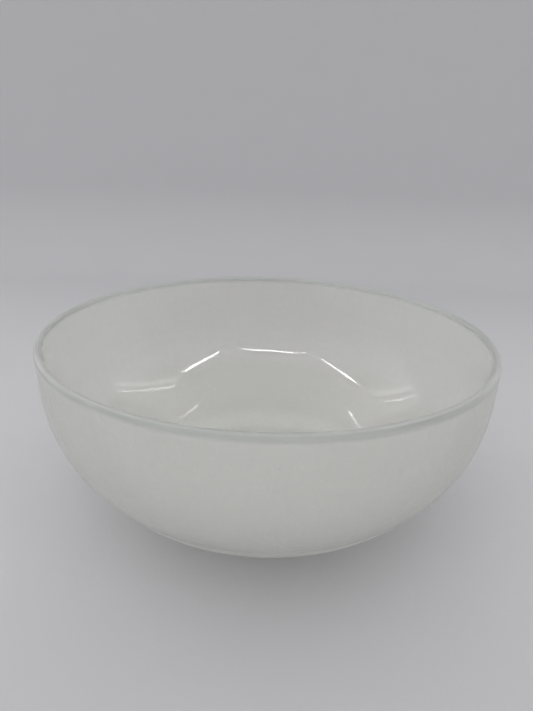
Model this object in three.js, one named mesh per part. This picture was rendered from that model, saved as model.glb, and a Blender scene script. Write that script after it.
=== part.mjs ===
// Art glass bowl: one piece of milky seeded glass, turned about Z, resting on a flat ground base.
// Millimetres, +Z up. The origin is the centre of the flat underside.
import * as THREE from 'three';

// Driving dimensions
const rimRadius = 100;       // outside of the bowl at the lip
const height = 83;           // table to the top of the lip
const baseRadius = 46;       // flat underside, up to its edge
const rimThickness = 2.8;    // wall just under the lip
const lowerThickness = 4.2;  // wall just above the base
const floorThickness = 5;    // glass over the flat underside
const floorRadius = 30;      // flat part of the inside floor

// Shape of the wall
const baseAngle = THREE.MathUtils.degToRad(26);  // how steeply the wall leaves the base
const rimLean = THREE.MathUtils.degToRad(4.5);   // how far the wall still opens at the lip
const lowerFullness = 1.1;   // how far the lower wall swells out: 1 reaches under the lip
const upperStraight = 19;    // length over which the wall under the lip stays nearly straight
const floorBlend = 0.14;     // where along the wall the floor's curve runs into it, from 0 to 1

// Fineness of the facets
const wallSteps = 15;
const blendSteps = 5;
const lipSteps = 6;
const turns = 72;

const seededGlass = new THREE.MeshStandardMaterial({
  name: 'seeded_glass',
  color: 0xd6ded4,
  roughness: 0.3,
  metalness: 0,
  transparent: true,
  opacity: 0.6,
});

// The lip is round, so its section is a circle that touches the rim's radius and the bowl's height.
const lipRadius = rimThickness / 2;
const lipCentre = new THREE.Vector2(rimRadius - lipRadius, height - lipRadius);

// The outside of the wall, from the edge of the base to the lip, as one cubic curve.
function makeOuterWall() {
  const upward = new THREE.Vector2(Math.sin(rimLean), Math.cos(rimLean));
  const outward = new THREE.Vector2(upward.y, -upward.x);
  const lip = lipCentre.clone().addScaledVector(outward, lipRadius);
  const lipHandle = lip.clone().addScaledVector(upward, -upperStraight);
  const foot = new THREE.Vector2(baseRadius, 0);
  const reach = lowerFullness * (rimRadius - baseRadius);
  const footHandle = new THREE.Vector2(foot.x + reach, reach * Math.tan(baseAngle));
  return new THREE.CubicBezierCurve(foot, footHandle, lipHandle, lip);
}

// A point on the inside of the wall: square to the outside, one wall thickness in.
function insidePoint(outerWall, share) {
  const along = outerWall.getTangent(share);
  const inward = new THREE.Vector2(-along.y, along.x);
  const thickness = THREE.MathUtils.lerp(lowerThickness, rimThickness, share);
  return outerWall.getPoint(share).addScaledVector(inward, thickness);
}

// The lip: a half circle from the outside of the wall, over the top, to the inside.
function makeLip() {
  const { x, y } = lipCentre;
  const lip = new THREE.EllipseCurve(x, y, lipRadius, lipRadius, -rimLean, Math.PI - rimLean);
  return lip.getPoints(lipSteps);
}

// The inside curve that joins the flat floor to the wall without a corner.
function makeFloorBlend(outerWall) {
  const onWall = insidePoint(outerWall, floorBlend);
  const along = outerWall.getTangent(floorBlend);
  const corner = onWall.x - (onWall.y - floorThickness) * along.x / along.y;
  return new THREE.QuadraticBezierCurve(
    onWall,
    new THREE.Vector2(corner, floorThickness),
    new THREE.Vector2(floorRadius, floorThickness),
  );
}

// The whole section, from the axis on the underside round to the axis on the inside floor.
function makeSection() {
  const outerWall = makeOuterWall();
  const outside = outerWall.getPoints(wallSteps);
  const lip = makeLip().slice(1);
  const inside = [];
  for (let step = 1; step < wallSteps; step += 1) {
    inside.push(insidePoint(outerWall, THREE.MathUtils.lerp(1, floorBlend, step / wallSteps)));
  }
  const blend = makeFloorBlend(outerWall).getPoints(blendSteps);
  const underside = new THREE.Vector2(0, 0);
  const floorCentre = new THREE.Vector2(0, floorThickness);
  return [underside, ...outside, ...lip, ...inside, ...blend, floorCentre];
}

function makeBowl() {
  const geometry = new THREE.LatheGeometry(makeSection(), turns);
  geometry.rotateX(Math.PI / 2);
  const mesh = new THREE.Mesh(geometry, seededGlass);
  mesh.name = 'glass_bowl';
  return mesh;
}

const bowl = new THREE.Group();
bowl.name = 'art_glass_bowl';
bowl.add(makeBowl());

export default bowl;
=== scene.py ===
"""One art glass bowl: milky seeded glass, gently rippled inside and pebbled outside, with a pale green lip.

The bowl is one piece of glass, so it is one mesh. Its section is swept round the Z axis as whole arrays, and
small reliefs are then added square to its skin. A light box of pale paper and lamp strips stands round it.
"""

import logging
import math
from dataclasses import dataclass
from enum import Enum
from typing import Protocol

import bpy
import numpy as np
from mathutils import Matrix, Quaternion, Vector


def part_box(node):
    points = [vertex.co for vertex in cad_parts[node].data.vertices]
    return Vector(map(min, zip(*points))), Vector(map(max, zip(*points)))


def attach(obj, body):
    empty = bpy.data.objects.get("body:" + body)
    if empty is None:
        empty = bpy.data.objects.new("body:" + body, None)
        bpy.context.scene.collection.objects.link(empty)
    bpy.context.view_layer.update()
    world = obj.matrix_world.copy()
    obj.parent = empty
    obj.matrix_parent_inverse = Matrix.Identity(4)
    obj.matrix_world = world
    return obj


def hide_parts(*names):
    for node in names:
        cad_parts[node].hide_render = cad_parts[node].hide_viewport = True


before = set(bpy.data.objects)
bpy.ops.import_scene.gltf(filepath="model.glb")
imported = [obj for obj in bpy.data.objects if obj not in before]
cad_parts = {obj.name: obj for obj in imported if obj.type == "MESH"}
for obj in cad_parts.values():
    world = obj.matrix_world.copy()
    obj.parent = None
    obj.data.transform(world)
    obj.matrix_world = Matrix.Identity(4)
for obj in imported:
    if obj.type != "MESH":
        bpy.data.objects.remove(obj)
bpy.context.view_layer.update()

BODY = "root"
NODE = "glass_bowl"

WHITE = (1.0, 1.0, 1.0)

Colour = tuple[float, float, float]
Socket = bpy.types.NodeSocket

log = logging.getLogger("bowl")


# ---------------------------------------------------------------------------------------------------------
# Small tools
# ---------------------------------------------------------------------------------------------------------


def smooth_step(value: np.ndarray, start: float, end: float) -> np.ndarray:
    """Rise from 0 at start to 1 at end with no corner: 3t^2 - 2t^3, where t is the share of the way.

    Args:
        value: Where to read it.
        start: The value at which it is 0.
        end: The value at which it is 1. It may be below start.

    Returns:
        The rise, as an array like value.
    """
    share = np.clip((value - start) / (end - start), 0.0, 1.0)
    return share * share * (3.0 - 2.0 * share)


def cubic_curve(points: np.ndarray, share: np.ndarray) -> tuple[np.ndarray, np.ndarray]:
    """Points and directions on a cubic Bezier curve: its four control points, each times its Bernstein share.

    Args:
        points: The four control points, one row each.
        share: Where to read it, from 0 at the first point to 1 at the last.

    Returns:
        The points, and the unit vectors along the curve there.
    """
    t = share[:, None]
    u = 1.0 - t
    place = u**3 * points[0] + 3 * u**2 * t * points[1] + 3 * u * t**2 * points[2] + t**3 * points[3]
    steps = np.diff(points, axis=0)
    along = 3 * (u**2 * steps[0] + 2 * u * t * steps[1] + t**2 * steps[2])
    return place, along / np.linalg.norm(along, axis=1, keepdims=True)


def rounded_corner(points: tuple[np.ndarray, np.ndarray, np.ndarray], share: np.ndarray) -> np.ndarray:
    """Points on the quadratic Bezier curve that rounds a corner: (1-t)^2 first + 2t(1-t) corner + t^2 last.

    Args:
        points: Where the curve starts, the corner that it rounds, and where it ends.
        share: Where to read it, from 0 to 1.

    Returns:
        The points, one row each.
    """
    first, corner, last = points
    t = share[:, None]
    return (1 - t) ** 2 * first + 2 * t * (1 - t) * corner + t**2 * last


@dataclass(frozen=True)
class Waviness:
    """A smooth random relief: plane cosine waves in random directions, with wavelengths in a band."""

    seed: int
    shortest: float
    longest: float
    depth: float
    upright: float = 1.0
    waves: int = 56

    def at(self, places: np.ndarray) -> np.ndarray:
        """Read the relief: depth times sqrt(2/n) times the sum of cos(k.p + phase) over n waves.

        Args:
            places: Points in metres, with the three coordinates on the last axis.

        Returns:
            The height of the relief in metres, without the last axis. Its usual size is depth.
        """
        draw = np.random.default_rng(self.seed)
        direction = draw.normal(size=(self.waves, 3))
        direction /= np.linalg.norm(direction, axis=1, keepdims=True)
        direction[:, 2] /= self.upright
        length = draw.uniform(self.shortest, self.longest, self.waves)
        phase = draw.uniform(0.0, 2.0 * math.pi, self.waves)
        total = np.zeros(places.shape[:-1])
        for vector, shift in zip(direction * (2.0 * math.pi / length)[:, None], phase):
            total += np.cos(places @ vector + shift)
        return total * self.depth * math.sqrt(2.0 / self.waves)


# ---------------------------------------------------------------------------------------------------------
# Shader nodes
# ---------------------------------------------------------------------------------------------------------


@dataclass(frozen=True)
class NodeSheet:
    """A node tree, with one short call for each node."""

    tree: bpy.types.NodeTree

    def add(self, kind: str, values: dict | None = None, **settings: object) -> bpy.types.Node:
        """Add a node, with its settings, and fill its inputs.

        Args:
            kind: The node's type.
            values: For each input's name or number, a value to set or an output socket to link.
            settings: The node's own properties.

        Returns:
            The node.
        """
        node = self.tree.nodes.new(kind)
        for name, value in settings.items():
            setattr(node, name, value)
        for name, value in (values or {}).items():
            if isinstance(value, Socket):
                self.tree.links.new(value, node.inputs[name])
            else:
                node.inputs[name].default_value = value
        return node

    def math(self, operation: str, *terms: float | Socket, clamp: bool = False) -> Socket:
        """One Math node, and its output.

        Args:
            operation: The operation's name.
            terms: One to three numbers or sockets.
            clamp: Whether the answer stays from 0 to 1.

        Returns:
            The output socket.
        """
        node = self.add("ShaderNodeMath", dict(enumerate(terms)), operation=operation, use_clamp=clamp)
        return node.outputs[0]

    def mix(self, factor: float | Socket, low: float | Socket, high: float | Socket) -> Socket:
        """A blend of two numbers.

        Args:
            factor: 0 for low and 1 for high.
            low: The first number.
            high: The second.

        Returns:
            The output socket.
        """
        return self.add("ShaderNodeMix", {0: factor, 2: low, 3: high}, data_type="FLOAT").outputs[0]

    def tint(self, factor: float | Socket, low: Colour | Socket, high: Colour | Socket) -> Socket:
        """A blend of two colours.

        Args:
            factor: 0 for low and 1 for high.
            low: The first colour.
            high: The second.

        Returns:
            The output socket.
        """
        first, second = (end if isinstance(end, Socket) else (*end, 1.0) for end in (low, high))
        return self.add("ShaderNodeMix", {0: factor, 6: first, 7: second}, data_type="RGBA").outputs[2]

    def ramp(self, value: Socket, start: float | Socket, end: float | Socket) -> Socket:
        """A smooth rise of value from 0 at start to 1 at end."""
        values = {"Value": value, "From Min": start, "From Max": end}
        node = self.add("ShaderNodeMapRange", values, interpolation_type="SMOOTHSTEP")
        return node.outputs["Result"]

    def attribute(self, name: str) -> Socket:
        """A named number that the mesh holds for each vertex."""
        return self.add("ShaderNodeAttribute", attribute_name=name).outputs["Fac"]

    def object_place(self) -> Socket:
        """The piece's own coordinates, in metres."""
        return self.add("ShaderNodeTexCoord").outputs["Object"]

    def bump(self, height: Socket, depth: float, strength: float = 1.0) -> Socket:
        """The normal of a relief that stands depth metres out where its height is 1."""
        values = {"Height": height, "Strength": strength, "Distance": depth}
        return self.add("ShaderNodeBump", values).outputs[0]


def new_group(name: str, inputs: dict[str, float | None], outputs: tuple[str, ...]) -> NodeSheet:
    """Make an empty shader node group with named sockets.

    Args:
        name: The group's name.
        inputs: Each input's name with its usual number, or None for a vector.
        outputs: The names of the outputs, all numbers.

    Returns:
        The group's node sheet.
    """
    group = bpy.data.node_groups.new(name, "ShaderNodeTree")
    for key, usual in inputs.items():
        kind = "NodeSocketVector" if usual is None else "NodeSocketFloat"
        socket = group.interface.new_socket(key, in_out="INPUT", socket_type=kind)
        if usual is not None:
            socket.default_value = usual
    for key in outputs:
        group.interface.new_socket(key, in_out="OUTPUT", socket_type="NodeSocketFloat")
    return NodeSheet(group)


def make_mottle() -> bpy.types.NodeTree:
    """Group: cloudy blotches at one scale, pulled out along Z by Stretch, as Value from 0 to 1.

    Returns:
        The group.
    """
    inputs = {"Vector": None, "Scale": 300.0, "Stretch": 1.0, "Contrast": 1.0}
    sheet = new_group("mottle", inputs, ("Value",))
    given = sheet.add("NodeGroupInput").outputs
    shrink = sheet.math("DIVIDE", 1.0, given["Stretch"])
    scale = sheet.add("ShaderNodeCombineXYZ", {"X": 1.0, "Y": 1.0, "Z": shrink}).outputs[0]
    place = sheet.add("ShaderNodeVectorMath", {0: given["Vector"], 1: scale}, operation="MULTIPLY")
    noise_inputs = {"Vector": place.outputs[0], "Scale": given["Scale"], "Detail": 3.0}
    noise = sheet.add("ShaderNodeTexNoise", noise_inputs)
    centred = sheet.math("SUBTRACT", noise.outputs["Fac"], 0.5)
    value = sheet.math("MULTIPLY_ADD", centred, given["Contrast"], 0.5, clamp=True)
    sheet.add("NodeGroupOutput", {"Value": value})
    return sheet.tree


def make_seeds() -> bpy.types.NodeTree:
    """Group: small round seeds, one in some of the cells of a Voronoi pattern, as Mask from 0 to 1.

    Returns:
        The group.
    """
    inputs = {"Vector": None, "Scale": 400.0, "Size": 0.25, "Share": 0.3}
    sheet = new_group("seeds", inputs, ("Mask",))
    given = sheet.add("NodeGroupInput").outputs
    cells = sheet.add("ShaderNodeTexVoronoi", {"Vector": given["Vector"], "Scale": given["Scale"]})
    chance = sheet.add("ShaderNodeSeparateColor", {"Color": cells.outputs["Color"]}).outputs[0]
    chosen = sheet.math("LESS_THAN", chance, given["Share"])
    dome = sheet.ramp(cells.outputs["Distance"], given["Size"], 0.0)
    sheet.add("NodeGroupOutput", {"Mask": sheet.math("MULTIPLY", dome, chosen)})
    return sheet.tree


@dataclass(frozen=True)
class Blotches:
    """One scale of cloudy blotches: how many to a metre, their stretch along Z, and how far they swing."""

    scale: float
    stretch: float
    contrast: float


@dataclass(frozen=True)
class Bubbles:
    """One size of bubbles: cells to a metre, a bubble's radius in cells, and the share of cells with one."""

    scale: float
    size: float
    share: float


@dataclass(frozen=True)
class Effects:
    """The two shader node groups that the finishes share."""

    mottle: bpy.types.NodeTree
    seeds: bpy.types.NodeTree

    @staticmethod
    def make() -> "Effects":
        """Build both groups."""
        return Effects(make_mottle(), make_seeds())

    def blotches(self, sheet: NodeSheet, kind: Blotches) -> Socket:
        """Place the mottle group.

        Args:
            sheet: Where to place it.
            kind: The blotches.

        Returns:
            The Value output.
        """
        values = {"Vector": sheet.object_place(), "Scale": kind.scale}
        values |= {"Stretch": kind.stretch, "Contrast": kind.contrast}
        return sheet.add("ShaderNodeGroup", values, node_tree=self.mottle).outputs["Value"]

    def bubbles(self, sheet: NodeSheet, kind: Bubbles) -> Socket:
        """Place the seeds group.

        Args:
            sheet: Where to place it.
            kind: The bubbles.

        Returns:
            The Mask output.
        """
        values = {"Vector": sheet.object_place(), "Scale": kind.scale}
        values |= {"Size": kind.size, "Share": kind.share}
        return sheet.add("ShaderNodeGroup", values, node_tree=self.seeds).outputs["Mask"]


def blank_material(name: str) -> tuple[bpy.types.Material, NodeSheet]:
    """A new node material with nothing in it.

    Args:
        name: The material's name.

    Returns:
        The material and its node sheet.
    """
    material = bpy.data.materials.new(name)
    material.use_nodes = True
    material.node_tree.nodes.clear()
    return material, NodeSheet(material.node_tree)


# ---------------------------------------------------------------------------------------------------------
# Finishes
# ---------------------------------------------------------------------------------------------------------


class Finish(Protocol):
    """Anything that can build a material with the shared node groups."""

    def make(self, effects: Effects) -> bpy.types.Material:
        """Build the material."""


@dataclass(frozen=True)
class SeededGlass:
    """Milky glass full of fine seeds, glossy inside and pebbled outside.

    The dulled values say how far the blotches of each kind pull the milk towards dusk.
    """

    name: str = "seeded_glass"
    # Painted light and shade on one milk: the upper inside and lower outside are painted lighter, the lower
    # inside and upper outside darker.
    upper_inside_painted_light: Colour = (1.0, 1.0, 0.985)
    lower_inside_painted_shade: Colour = (0.885, 0.873, 0.83)
    upper_outside_painted_shade: Colour = (0.925, 0.925, 0.88)
    lower_outside_painted_light: Colour = (1.0, 1.0, 0.965)
    # Painted light: the floor over the foot is painted paler than the milk round it.
    foot_painted_light: Colour = (0.995, 1.0, 0.95)
    dusk: Colour = (0.83, 0.835, 0.785)
    lip_tint: Colour = (0.63, 0.655, 0.63)
    clouds: Blotches = Blotches(45.0, 1.0, 2.2)
    bands: Blotches = Blotches(55.0, 0.16, 2.4)
    pebbles: Blotches = Blotches(420.0, 1.4, 1.8)
    grain: Blotches = Blotches(1400.0, 1.0, 1.4)
    large: Bubbles = Bubbles(260.0, 0.22, 0.16)
    small: Bubbles = Bubbles(700.0, 0.28, 0.30)
    dulled_by_clouds: float = 0.08
    dulled_by_bands: float = 0.12
    dulled_by_pebbles: float = 0.30
    dulled_by_grain: float = 0.14
    sandy_outside: tuple[float, float] = (1.0, 0.7)
    sandy_inside: tuple[float, float] = (0.75, 1.6)
    large_white: float = 0.8
    small_white: tuple[float, float] = (0.4, 1.0)
    clearness: float = 0.48
    inside_gloss: float = 0.05
    outside_gloss: float = 0.42
    lip_gloss: float = 0.40
    unevenness: float = 0.5
    bleed: float = 0.012
    foot_bleed: float = 0.003
    pebble_depth: float = 0.00022
    small_relief: float = 0.25
    large_relief: float = 0.12
    bend: float = 1.5

    def make(self, effects: Effects) -> bpy.types.Material:
        """Build the material.

        Args:
            effects: The shared node groups.

        Returns:
            The material.
        """
        material, sheet = blank_material(self.name)
        mask = {name: sheet.attribute(name) for name in ("inside", "lip", "foot", "low")}
        blotches = {"clouds": self.clouds, "bands": self.bands, "pebbles": self.pebbles, "grain": self.grain}
        bubbles = {"large": self.large, "small": self.small}
        pattern = {key: effects.blotches(sheet, kind) for key, kind in blotches.items()}
        pattern |= {key: effects.bubbles(sheet, kind) for key, kind in bubbles.items()}
        foot_inside = sheet.math("MULTIPLY", mask["foot"], mask["inside"])
        shader = sheet.add("ShaderNodeBsdfPrincipled", {
            "Base Color": self._colour(sheet, mask, pattern),
            "Roughness": self._gloss(sheet, mask, pattern),
            "Normal": sheet.bump(self._relief(sheet, mask, pattern), self.pebble_depth),
            "Metallic": 0.0,
            "IOR": self.bend,
            "Transmission Weight": self.clearness,
            "Subsurface Weight": 1.0,
            "Subsurface Radius": (1.0, 1.0, 1.0),
            "Subsurface Scale": sheet.mix(foot_inside, self.bleed, self.foot_bleed),
        })
        sheet.add("ShaderNodeOutputMaterial", {"Surface": shader.outputs[0]})
        return material

    def _colour(self, sheet: NodeSheet, mask: dict[str, Socket], pattern: dict[str, Socket]) -> Socket:
        """The milk's colour: each side's and zone's painted light and shade, a paler painted floor over the
        foot, dulled by blotches, whitened by bubbles, green at the lip.

        Args:
            sheet: The material's nodes.
            mask: The mesh's masks by name.
            pattern: The blotches and bubbles by name.

        Returns:
            The colour.
        """
        inside, low = mask["inside"], mask["low"]
        # Painted light and shade: each side and zone gets its own brightness of the same milk, and the floor
        # over the foot is painted paler.
        outer = sheet.tint(low, self.upper_outside_painted_shade, self.lower_outside_painted_light)
        inner = sheet.tint(low, self.upper_inside_painted_light, self.lower_inside_painted_shade)
        milky = sheet.tint(mask["foot"], sheet.tint(inside, outer, inner), self.foot_painted_light)

        banded = sheet.math("MULTIPLY", pattern["bands"], self.dulled_by_bands)
        uneven = sheet.math("MULTIPLY_ADD", pattern["clouds"], self.dulled_by_clouds, banded)
        grainy = sheet.math("MULTIPLY", pattern["grain"], self.dulled_by_grain)
        sandy = sheet.math("MULTIPLY_ADD", pattern["pebbles"], self.dulled_by_pebbles, grainy)
        shown = sheet.mix(inside, sheet.mix(low, *self.sandy_outside), sheet.mix(low, *self.sandy_inside))
        clouded = sheet.tint(sheet.math("MULTIPLY_ADD", sandy, shown, uneven), milky, self.dusk)

        specks = sheet.math("MULTIPLY", pattern["small"], sheet.mix(low, *self.small_white))
        seeds = sheet.math("MULTIPLY_ADD", pattern["large"], self.large_white, specks, clamp=True)
        return sheet.tint(mask["lip"], sheet.tint(seeds, clouded, WHITE), self.lip_tint)

    def _gloss(self, sheet: NodeSheet, mask: dict[str, Socket], pattern: dict[str, Socket]) -> Socket:
        """The roughness: each side's own, made uneven by the grain, and the lip's.

        Args:
            sheet: The material's nodes.
            mask: The mesh's masks by name.
            pattern: The blotches and bubbles by name.

        Returns:
            The roughness.
        """
        skin = sheet.mix(mask["inside"], self.outside_gloss, self.inside_gloss)
        swing = sheet.math("SUBTRACT", pattern["grain"], 0.5)
        uneven = sheet.math("MULTIPLY_ADD", swing, self.unevenness, 1.0)
        return sheet.mix(mask["lip"], sheet.math("MULTIPLY", skin, uneven), self.lip_gloss)

    def _relief(self, sheet: NodeSheet, mask: dict[str, Socket], pattern: dict[str, Socket]) -> Socket:
        """The fine relief: pebbles and small bubbles outside, a few large bubbles inside, none on the lip.

        Args:
            sheet: The material's nodes.
            mask: The mesh's masks by name.
            pattern: The blotches and bubbles by name.

        Returns:
            The height, in pebble depths.
        """
        outside = sheet.math("SUBTRACT", 1.0, mask["inside"], clamp=True)
        pebbly = sheet.math("MULTIPLY_ADD", pattern["small"], self.small_relief, pattern["pebbles"])
        seedy_inside = sheet.math("MULTIPLY", pattern["large"], mask["inside"])
        seedy = sheet.math("MULTIPLY", seedy_inside, self.large_relief)
        relief = sheet.math("ADD", sheet.math("MULTIPLY", pebbly, outside), seedy)
        return sheet.math("MULTIPLY", relief, sheet.math("SUBTRACT", 1.0, mask["lip"], clamp=True))


@dataclass(frozen=True)
class GroundGlass:
    """The underside, ground flat: a matt, milky skin that hides what lies under it."""

    pale: Colour = (0.95, 0.955, 0.915)
    worn: Colour = (0.89, 0.90, 0.86)
    wear: Blotches = Blotches(60.0, 1.0, 2.0)
    grit: Blotches = Blotches(1500.0, 1.0, 2.0)
    smoothest: float = 0.6
    grit_roughness: float = 0.2
    grit_depth: float = 0.00005

    def make(self, effects: Effects) -> bpy.types.Material:
        """Build the material.

        Args:
            effects: The shared node groups.

        Returns:
            The material.
        """
        material, sheet = blank_material("ground_glass")
        grit = effects.blotches(sheet, self.grit)
        shader = sheet.add("ShaderNodeBsdfPrincipled", {
            "Base Color": sheet.tint(effects.blotches(sheet, self.wear), self.pale, self.worn),
            "Roughness": sheet.math("MULTIPLY_ADD", grit, self.grit_roughness, self.smoothest),
            "Normal": sheet.bump(grit, self.grit_depth),
        })
        sheet.add("ShaderNodeOutputMaterial", {"Surface": shader.outputs[0]})
        return material


@dataclass(frozen=True)
class Paper:
    """The light box's pale paper: faintly mottled, with a fine fibre, and darker towards the front with
    painted shade.
    """

    light: Colour = (0.68, 0.675, 0.70)
    dark: Colour = (0.65, 0.645, 0.67)
    # Painted shade: the paper darkens towards the front, from shade_starts to shade_ends.
    painted_shade: Colour = (0.60, 0.595, 0.615)
    shade_starts: float = -0.05
    shade_ends: float = -0.15
    fibre: Blotches = Blotches(600.0, 1.0, 1.5)
    patches: Blotches = Blotches(30.0, 1.0, 1.5)
    fibre_depth: float = 0.0001
    fibre_strength: float = 0.4
    roughness: float = 0.9

    def make(self, effects: Effects) -> bpy.types.Material:
        """Build the material.

        Args:
            effects: The shared node groups.

        Returns:
            The material.
        """
        material, sheet = blank_material("paper")
        fibre = effects.blotches(sheet, self.fibre)
        patches = effects.blotches(sheet, self.patches)
        tone = sheet.math("MULTIPLY", sheet.math("ADD", fibre, patches), 0.5)
        mottled = sheet.tint(tone, self.light, self.dark)
        # Painted shade laid on the paper towards the front.
        along = sheet.add("ShaderNodeSeparateXYZ", {"Vector": sheet.object_place()}).outputs["Y"]
        painted_shade_share = sheet.ramp(along, self.shade_starts, self.shade_ends)
        shader = sheet.add("ShaderNodeBsdfPrincipled", {
            "Base Color": sheet.tint(painted_shade_share, mottled, self.painted_shade),
            "Roughness": self.roughness,
            "Normal": sheet.bump(fibre, self.fibre_depth, self.fibre_strength),
        })
        sheet.add("ShaderNodeOutputMaterial", {"Surface": shader.outputs[0]})
        return material


# ---------------------------------------------------------------------------------------------------------
# The bowl
# ---------------------------------------------------------------------------------------------------------


class Skin(Enum):
    """The stretches of the section, in the order in which it is drawn."""

    UNDERSIDE = 0
    OUTSIDE = 1
    LIP = 2
    INSIDE = 3
    FLOOR = 4


@dataclass(frozen=True)
class Section:
    """The bowl's section, in metres, from the axis on the underside round to the axis on the inside floor.

    The sizes with values are the same as the solid's. The rows say how finely each stretch is cut.
    """

    rim_radius: float
    height: float
    base_radius: float = 0.046
    rim_thickness: float = 0.0028
    lower_thickness: float = 0.0042
    floor_thickness: float = 0.005
    floor_radius: float = 0.030
    edge_round: float = 0.0022
    base_angle: float = math.radians(26.0)
    rim_lean: float = math.radians(4.5)
    lower_fullness: float = 1.1
    upper_straight: float = 0.019
    floor_blend: float = 0.14
    pole_share: float = 0.08
    wall_rows: int = 92
    lip_rows: int = 12
    floor_rows: int = 16
    edge_rows: int = 6

    def outer_wall(self, share: np.ndarray) -> tuple[np.ndarray, np.ndarray]:
        """The outside of the wall, as one cubic curve from the base's edge to the lip.

        Args:
            share: Where to read it, from 0 at the base to 1 at the lip.

        Returns:
            Points as (radius, height), and the unit vectors up along the wall.
        """
        lip_radius = self.rim_thickness / 2
        centre = self.lip_centre()
        up = np.array([math.sin(self.rim_lean), math.cos(self.rim_lean)])
        lip = centre + lip_radius * np.array([up[1], -up[0]])
        reach = self.lower_fullness * (self.rim_radius - self.base_radius)
        foot = np.array([self.base_radius, 0.0])
        swell = foot + reach * np.array([1.0, math.tan(self.base_angle)])
        return cubic_curve(np.array([foot, swell, lip - self.upper_straight * up, lip]), share)

    def lip_centre(self) -> np.ndarray:
        """The middle of the lip's round section, as (radius, height)."""
        return np.array([self.rim_radius, self.height]) - self.rim_thickness / 2

    def inner_wall(self, share: np.ndarray) -> tuple[np.ndarray, np.ndarray]:
        """The inside of the wall: one thickness in, square to the outside.

        Args:
            share: Where to read it, from 0 at the base to 1 at the lip.

        Returns:
            Points as (radius, height), and the outer wall's unit vectors there.
        """
        place, up = self.outer_wall(share)
        inward = np.stack([-up[:, 1], up[:, 0]], axis=1)
        thick = self.lower_thickness + (self.rim_thickness - self.lower_thickness) * share
        return place + inward * thick[:, None], up

    def stretches(self) -> dict[Skin, np.ndarray]:
        """Every stretch of the section as points, without the two on the axis.

        Returns:
            For each stretch, its points as (radius, height) in the order in which they are drawn.
        """
        corner = np.array([self.base_radius, 0.0])
        first_wall = self.edge_round / (self.rim_radius - self.base_radius) / 2
        outside, _ = self.outer_wall(np.linspace(first_wall, 1.0, self.wall_rows))
        flat = np.linspace(self.pole_share, 1.0, self.floor_rows) * (self.base_radius - self.edge_round)
        underside = np.stack([flat, np.zeros_like(flat)], axis=1)
        between = np.linspace(0.0, 1.0, self.edge_rows)[1:-1]
        edge = rounded_corner((underside[-1], corner, outside[0]), between)

        turn = np.linspace(-self.rim_lean, math.pi - self.rim_lean, self.lip_rows + 2)[1:-1]
        lip = self.lip_centre() + self.rim_thickness / 2 * np.stack([np.cos(turn), np.sin(turn)], axis=1)

        inside, up = self.inner_wall(np.linspace(1.0, self.floor_blend, self.wall_rows))
        low, low_up = inside[-1], up[-1]
        knee_radius = low[0] - (low[1] - self.floor_thickness) * low_up[0] / low_up[1]
        knee = np.array([knee_radius, self.floor_thickness])
        floor_edge = np.array([self.floor_radius, self.floor_thickness])
        blend = rounded_corner((low, knee, floor_edge), np.linspace(0.0, 1.0, self.floor_rows)[1:])
        level = np.linspace(1.0, self.pole_share, self.floor_rows)[1:] * self.floor_radius
        floor = np.stack([level, np.full_like(level, self.floor_thickness)], axis=1)
        return {
            Skin.UNDERSIDE: underside,
            Skin.OUTSIDE: np.concatenate([edge, outside]),
            Skin.LIP: lip,
            Skin.INSIDE: inside,
            Skin.FLOOR: np.concatenate([blend, floor]),
        }


@dataclass(frozen=True)
class Lap:
    """A shallow fold in the outside skin, where the glass lapped over itself low on the wall."""

    height: float = 0.0205
    width: float = 0.0011
    depth: float = 0.0009
    start: float = math.radians(226.0)
    end: float = math.radians(330.0)
    fade: float = math.radians(9.0)
    rise: float = 0.004

    def at(self, angle: np.ndarray, height: np.ndarray) -> np.ndarray:
        """How far the skin stands out: full under the fold line, nothing over it, fading at both its ends.

        Args:
            angle: The angle round the bowl from +X, in radians from 0 to 2 pi.
            height: The height over the table, in metres.

        Returns:
            The relief in metres.
        """
        along = (angle - self.start) / (self.end - self.start)
        line = self.height + self.rise * along
        below = smooth_step(height, 0.0, self.width) * smooth_step(height - line, self.width, -self.width)
        begun = smooth_step(angle, self.start, self.start + self.fade)
        ended = smooth_step(angle, self.end + self.fade, self.end)
        return self.depth * below * begun * ended


@dataclass(frozen=True)
class Fade:
    """A smooth change from 0 at one reading to 1 at another."""

    none: float
    full: float

    def at(self, value: np.ndarray) -> np.ndarray:
        """Read the change."""
        return smooth_step(value, self.none, self.full)


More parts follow.
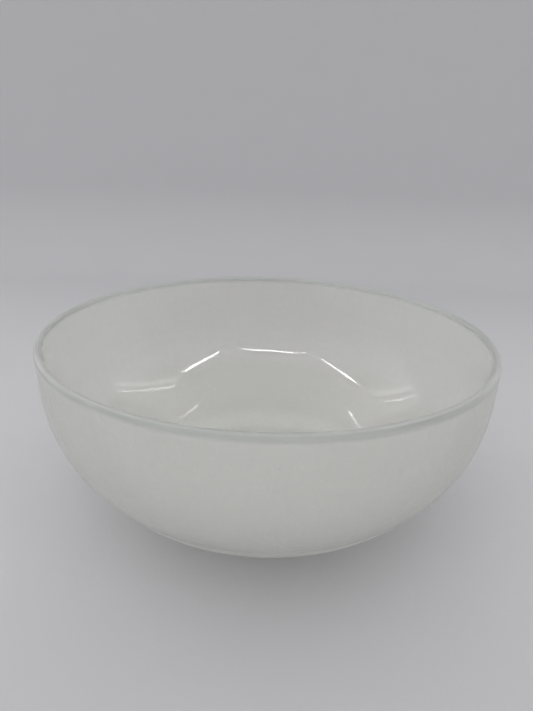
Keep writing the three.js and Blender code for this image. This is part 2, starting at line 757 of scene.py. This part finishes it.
@dataclass
class GlassBowl:
    """The whole bowl: one closed skin of glass, swept round the axis and then given its reliefs.

    The reliefs fade out near the base and the lip. The lower zones are where the milk's painted light and
    shade change.
    """

    section: Section
    columns: int = 400
    out_of_round: Waviness = Waviness(seed=3, shortest=0.11, longest=0.22, depth=0.00025)
    ripples: Waviness = Waviness(seed=11, shortest=0.016, longest=0.036, depth=0.000018)
    dimples: Waviness = Waviness(seed=5, shortest=0.006, longest=0.011, depth=0.000022)
    dimpled: Waviness = Waviness(seed=23, shortest=0.05, longest=0.09, depth=1.0)
    lumps: Waviness = Waviness(seed=7, shortest=0.012, longest=0.03, depth=0.00006, upright=1.8)
    pebbles: Waviness = Waviness(
        seed=19, shortest=0.0042, longest=0.008, depth=0.000018, upright=1.3, waves=72
    )
    lap: Lap = Lap()
    off_base: Fade = Fade(0.0005, 0.006)
    round_base: Fade = Fade(0.01, 0.05)
    under_lip: Fade = Fade(0.0015, 0.007)
    dimpled_height: Fade = Fade(0.034, 0.027)
    dimpled_patches: Fade = Fade(-0.6, 1.4)
    lip_height: Fade = Fade(-0.0035, -0.0015)
    # The foot and the lower zones place the milk's painted light and shade.
    foot_radius: Fade = Fade(0.062, 0.054)
    low_inside: Fade = Fade(0.090, 0.080)
    low_outside: Fade = Fade(0.030, 0.016)
    disc_radius: float = 0.038

    def build(self) -> bpy.types.Object:
        """Sweep the section round, add the reliefs and make the mesh.

        A point of the skin is (r cos a, r sin a, z) plus its relief times the unit vector out of the glass.

        Returns:
            The piece, riding on its body and standing for the CAD node.
        """
        stretches = self.section.stretches()
        profile = np.concatenate(list(stretches.values()))
        skin = np.concatenate([np.full(len(points), kind.value) for kind, points in stretches.items()])
        along = np.gradient(profile, axis=0)
        along /= np.linalg.norm(along, axis=1, keepdims=True)
        outward = np.stack([along[:, 1], -along[:, 0]], axis=1)

        angle = np.linspace(0.0, 2.0 * math.pi, self.columns, endpoint=False)
        ring = np.stack([np.cos(angle), np.sin(angle)], axis=1)
        places = self._swept(profile, ring)
        places += self._relief(places, skin, angle)[..., None] * self._swept(outward, ring)

        mesh = self._mesh(places, self.section.floor_thickness)
        self._mark(mesh, profile, skin)
        self._split_base(mesh, profile, skin)
        piece = bpy.data.objects.new("bowl_glass", mesh)
        bpy.context.scene.collection.objects.link(piece)
        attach(piece, BODY)
        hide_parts(NODE)
        return piece

    @staticmethod
    def _swept(pairs: np.ndarray, ring: np.ndarray) -> np.ndarray:
        """Carry (radius, height) pairs round the axis, as an array of rows by columns by 3."""
        flat = pairs[:, None, 0, None] * ring[None, :, :]
        high = np.broadcast_to(pairs[:, None, 1, None], (*flat.shape[:2], 1))
        return np.concatenate([flat, high], axis=2)

    def _relief(self, places: np.ndarray, skin: np.ndarray, angle: np.ndarray) -> np.ndarray:
        """How far each point stands out of the even shape.

        Args:
            places: The even shape's points, rows by columns by 3.
            skin: Which stretch each row belongs to.
            angle: The angle of each column.

        Returns:
            The relief in metres, rows by columns.
        """
        height = places[..., 2]
        outside = (skin == Skin.OUTSIDE.value)[:, None].astype(float)
        inside = (skin >= Skin.INSIDE.value)[:, None].astype(float)
        off_lip = self.under_lip.at(self.section.height - height)
        lumpy = self.lumps.at(places) + self.pebbles.at(places)
        relief = outside * self.off_base.at(height) * off_lip * lumpy
        knee = self.dimpled_height.at(height) * self.dimpled_patches.at(self.dimpled.at(places))
        relief += inside * off_lip * (self.ripples.at(places) + knee * self.dimples.at(places))
        relief += outside * self.lap.at(np.broadcast_to(angle, height.shape), height)
        wander = self.out_of_round.at(places) * self.round_base.at(height)
        return relief + wander * (outside - inside)

    def _mesh(self, places: np.ndarray, floor: float) -> bpy.types.Mesh:
        """Join the rows to quads, and close both poles with a fan of triangles.

        Args:
            places: The skin's points, rows by columns by 3.
            floor: The height of the inside pole.

        Returns:
            The mesh, closed, with its faces pointing out of the glass.
        """
        rows, columns = places.shape[:2]
        index = np.arange(rows * columns).reshape(rows, columns)
        turned = np.roll(index, -1, axis=1)
        quads = np.stack([index[:-1], turned[:-1], turned[1:], index[1:]], axis=-1).reshape(-1, 4)
        under, over = rows * columns, rows * columns + 1
        first = np.stack([np.full(columns, under), turned[0], index[0]], axis=-1)
        last = np.stack([index[-1], turned[-1], np.full(columns, over)], axis=-1)
        points = np.concatenate([places.reshape(-1, 3), [[0.0, 0.0, 0.0], [0.0, 0.0, floor]]])
        mesh = bpy.data.meshes.new("bowl_glass")
        mesh.from_pydata(points, [], [*quads.tolist(), *first.tolist(), *last.tolist()])
        mesh.polygons.foreach_set("use_smooth", np.ones(len(mesh.polygons), bool))
        mesh.update()
        return mesh

    def _mark(self, mesh: bpy.types.Mesh, profile: np.ndarray, skin: np.ndarray) -> None:
        """Write the masks that the finish reads: inside, lip, foot and low, each from 0 to 1.

        Args:
            mesh: The bowl's mesh.
            profile: The section's points as (radius, height).
            skin: Which stretch each row belongs to.
        """
        radius, height = profile.T
        inside, lip = skin >= Skin.INSIDE.value, skin == Skin.LIP.value
        # foot and low also say where the milk's colour carries painted light and shade.
        masks = {
            "inside": inside.astype(float),
            "lip": np.where(lip, 1.0, self.lip_height.at(height - self.section.height)),
            "foot": self.foot_radius.at(radius),
            "low": np.where(inside, self.low_inside.at(radius), self.low_outside.at(height)),
        }
        masks["inside"][lip] = np.linspace(0.0, 1.0, lip.sum())
        for name, values in masks.items():
            attribute = mesh.attributes.new(name, "FLOAT", "POINT")
            spread = np.append(np.repeat(values, self.columns), [values[0], values[-1]])
            attribute.data.foreach_set("value", spread.astype(np.float32))

    def _split_base(self, mesh: bpy.types.Mesh, profile: np.ndarray, skin: np.ndarray) -> None:
        """Give the underside's faces the second finish, and those of the inside over it the third.

        Args:
            mesh: The bowl's mesh, with its rows of quads first, then the fan under it and the fan inside.
            profile: The section's points as (radius, height).
            skin: Which stretch each row belongs to.
        """
        under = (skin[:-1] == Skin.UNDERSIDE.value) & (skin[1:] == Skin.UNDERSIDE.value)
        over = (skin[1:] >= Skin.INSIDE.value) & (profile[1:, 0] < self.disc_radius)
        rows = np.concatenate([under + 2 * over, [1, 2]])
        mesh.polygons.foreach_set("material_index", np.repeat(rows, self.columns).astype(np.int32))

    def dress(self, piece: bpy.types.Object, finishes: tuple[Finish, ...], effects: Effects) -> None:
        """Give the piece its glass.

        Args:
            piece: The bowl.
            finishes: The finishes of the walls, of the underside, and of the inside over the underside.
            effects: The shared node groups.
        """
        for finish in finishes:
            piece.data.materials.append(finish.make(effects))


# ---------------------------------------------------------------------------------------------------------
# The light box and the camera
# ---------------------------------------------------------------------------------------------------------


@dataclass(frozen=True)
class Strip:
    """One lamp strip over the bowl. It shows as a line in the gloss and adds nothing to the soft light."""

    x: float
    y: float
    length: float
    turn: float = 0.0
    width: float = 0.004
    radiance: float = 70.0

    def make(self, name: str, height: float) -> bpy.types.Object:
        """Place the lamp. An even flat lamp gives pi times its radiance times its area, in watts.

        Args:
            name: The lamp's name.
            height: How high it hangs.

        Returns:
            The lamp.
        """
        data = bpy.data.lights.new(name, "AREA")
        data.shape = "RECTANGLE"
        data.size, data.size_y = self.length, self.width
        data.energy = self.radiance * math.pi * self.length * self.width
        lamp = bpy.data.objects.new(name, data)
        lamp.location = (self.x, self.y, height)
        lamp.rotation_euler.z = self.turn
        lamp.visible_diffuse = False
        bpy.context.scene.collection.objects.link(lamp)
        return lamp


@dataclass(frozen=True)
class SoftGlow:
    """Even light from all round, and more from three sides, each falling off as the cosine of its angle."""

    all_round: float = 0.40
    above: float = 0.46
    behind: float = 0.96
    left: float = 0.265

    def make(self) -> bpy.types.World:
        """Build the world's light: the even part, plus each side's strength times the cosine from it.

        Returns:
            The world.
        """
        world = bpy.data.worlds.new("soft_glow")
        world.use_nodes = True
        world.node_tree.nodes.clear()
        sheet = NodeSheet(world.node_tree)
        look = sheet.add("ShaderNodeTexCoord").outputs["Generated"]
        sides = {(0, 0, 1): self.above, (0, 1, 0): self.behind, (-1, 0, 0): self.left}
        total = self.all_round
        for side, strength in sides.items():
            facing = sheet.add("ShaderNodeVectorMath", {0: look, 1: side}, operation="DOT_PRODUCT")
            share = sheet.math("MAXIMUM", facing.outputs["Value"], 0.0)
            total = sheet.math("MULTIPLY_ADD", share, strength, total)
        background = sheet.add("ShaderNodeBackground", {"Color": (*WHITE, 1.0), "Strength": total})
        sheet.add("ShaderNodeOutputWorld", {"Surface": background.outputs[0]})
        return world


@dataclass
class LightBox:
    """A box of pale paper, swept up behind the bowl, with lamp strips round its roof.

    Three bright strips stand over the front, two dim ones over the back, and a wide soft panel with a thin
    edge at each side.
    """

    half_width: float = 0.6
    back: float = 0.50
    front: float = -0.9
    bend_radius: float = 0.10
    wall_height: float = 0.75
    bend_rows: int = 24
    strip_height: float = 0.29
    strips: tuple[Strip, ...] = (
        Strip(-0.028, -0.189, 0.222, math.radians(-5.0), width=0.008, radiance=30.0),
        Strip(0.172, -0.071, 0.176, math.radians(81.0), width=0.006, radiance=46.0),
        Strip(-0.190, -0.047, 0.170, math.radians(97.0), width=0.006, radiance=36.0),
        Strip(0.104, 0.131, 0.074, math.radians(78.0), radiance=4.5),
        Strip(-0.127, 0.157, 0.074, math.radians(99.0), radiance=10.0),
        Strip(0.352, 0.208, 0.476, math.radians(41.0), width=0.03, radiance=1.4),
        Strip(0.275, 0.194, 0.335, math.radians(46.0), width=0.008, radiance=5.0),
        Strip(-0.410, 0.197, 0.424, math.radians(154.0), width=0.03, radiance=1.4),
        Strip(-0.420, 0.278, 0.424, math.radians(148.0), width=0.008, radiance=5.0),
    )
    glow: SoftGlow = SoftGlow()

    def build(self, finish: Finish, effects: Effects) -> None:
        """Make the paper, the lamps and the even light round them.

        Args:
            finish: The paper.
            effects: The shared node groups.
        """
        paper = self._paper()
        paper.data.materials.append(finish.make(effects))
        for number, strip in enumerate(self.strips, 1):
            strip.make(f"strip_{number}", self.strip_height)
        bpy.context.scene.world = self.glow.make()

    def _paper(self) -> bpy.types.Object:
        """One sheet: flat floor, a quarter-circle bend, then straight up, swept along X.

        Returns:
            The sheet, as an object.
        """
        turn = np.linspace(0.0, math.pi / 2, self.bend_rows)
        bend = self.back - self.bend_radius + self.bend_radius * np.sin(turn)
        rise = self.bend_radius * (1.0 - np.cos(turn))
        depth = np.concatenate([[self.front], bend, [self.back]])
        height = np.concatenate([[0.0], rise, [self.wall_height]])
        across = np.array([-self.half_width, self.half_width])
        grid = np.broadcast_arrays(across[None, :], depth[:, None], height[:, None])
        points = np.stack(grid, axis=-1).reshape(-1, 3)
        index = np.arange(len(depth) * 2).reshape(-1, 2)
        quads = np.stack([index[:-1, 0], index[:-1, 1], index[1:, 1], index[1:, 0]], axis=-1)
        mesh = bpy.data.meshes.new("paper_sweep")
        mesh.from_pydata(points, [], quads.tolist())
        mesh.polygons.foreach_set("use_smooth", np.ones(len(mesh.polygons), bool))
        mesh.update()
        sheet = bpy.data.objects.new("paper_sweep", mesh)
        bpy.context.scene.collection.objects.link(sheet)
        return sheet


@dataclass(frozen=True)
class HandheldCamera:
    """A handheld camera close in front of the bowl, looking down at it and turned a little on its axis."""

    behind: float = 0.247
    over_rim: float = 0.082
    down: float = math.radians(21.16)
    aside: float = 0.002
    roll: float = 0.031
    lens: float = 28.86
    sensor_width: float = 36.0
    clip_start: float = 0.01

    def place(self, rim_height: float) -> bpy.types.Object:
        """Make the camera and set it as the scene's.

        Args:
            rim_height: The height of the bowl's lip.

        Returns:
            The camera.
        """
        data = bpy.data.cameras.new("camera")
        data.lens = self.lens
        data.sensor_width = self.sensor_width
        data.clip_start = self.clip_start
        camera = bpy.data.objects.new("camera", data)
        bpy.context.scene.collection.objects.link(camera)
        camera.location = (0.0, -self.behind, rim_height + self.over_rim)
        heading = Quaternion((0.0, 0.0, 1.0), self.aside)
        tilt = Quaternion((1.0, 0.0, 0.0), math.pi / 2 - self.down)
        camera.rotation_mode = "QUATERNION"
        camera.rotation_quaternion = heading @ tilt @ Quaternion((0.0, 0.0, 1.0), self.roll)
        bpy.context.scene.camera = camera
        return camera


# ---------------------------------------------------------------------------------------------------------
# Putting it together
# ---------------------------------------------------------------------------------------------------------


def section_from_frame() -> Section:
    """Read the bowl's width and height from the frame."""
    low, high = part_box(NODE)
    return Section(rim_radius=(high.x - low.x) / 2, height=high.z)


def main() -> None:
    """Build the camera, the bowl and the light box in order, and report each piece."""
    logging.basicConfig(level=logging.INFO, format="%(name)s: %(message)s")
    bpy.context.scene.view_settings.view_transform = "Standard"
    section = section_from_frame()
    HandheldCamera().place(section.height)
    effects = Effects.make()

    bowl = GlassBowl(section)
    piece = bowl.build()
    floor_glass = SeededGlass("floor_glass", clearness=0.31)
    bowl.dress(piece, (SeededGlass(), GroundGlass(), floor_glass), effects)
    log.info("%s: %d faces on %s", piece.name, len(piece.data.polygons), BODY)

    LightBox().build(Paper(), effects)


if __name__ == "__main__":
    main()
